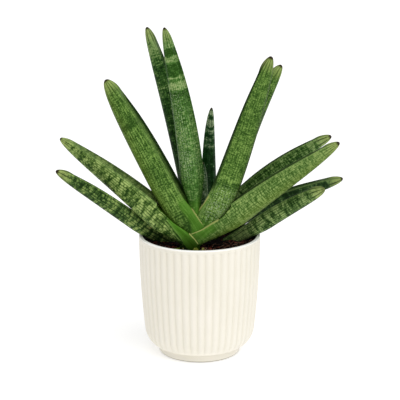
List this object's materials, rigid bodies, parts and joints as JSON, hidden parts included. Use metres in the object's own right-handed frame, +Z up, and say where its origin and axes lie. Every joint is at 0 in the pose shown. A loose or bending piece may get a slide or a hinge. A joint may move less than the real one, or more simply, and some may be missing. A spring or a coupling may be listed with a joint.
{
  "type": "potted sansevieria swasdii",
  "caption": "Snake plant (sansevieria swasdii) with thick, banded green leaves fanning up out of dark potting soil in a round, finely ribbed cream pot.",
  "frame": {"origin": "middle of the pot's flat underside", "axes": "+Z up; -Y towards the viewer of the picture and +X to the viewer's right"},
  "size_m": [0.327, 0.14, 0.38],
  "materials": {
    "pot_plastic": "matt cream-white moulded plastic with fine upright ribs",
    "potting_soil": null,
    "leaf": null
  },
  "bodies": {
    "root": {"pot": "pot_plastic", "soil": "potting_soil", "leaf_back_right_lower": "leaf", "leaf_back_right_upper": "leaf", "leaf_back_young": "leaf", "leaf_front_centre": "leaf", "leaf_front_left_low": "leaf", "leaf_front_left_tall": "leaf", "leaf_front_right_low": "leaf", "leaf_front_right_tall": "leaf", "leaf_middle_left_low": "leaf", "leaf_middle_left_tall": "leaf", "leaf_middle_right_low": "leaf", "leaf_middle_right_tall": "leaf", "leaf_middle_young": "leaf"}
  },
  "joints": []
}
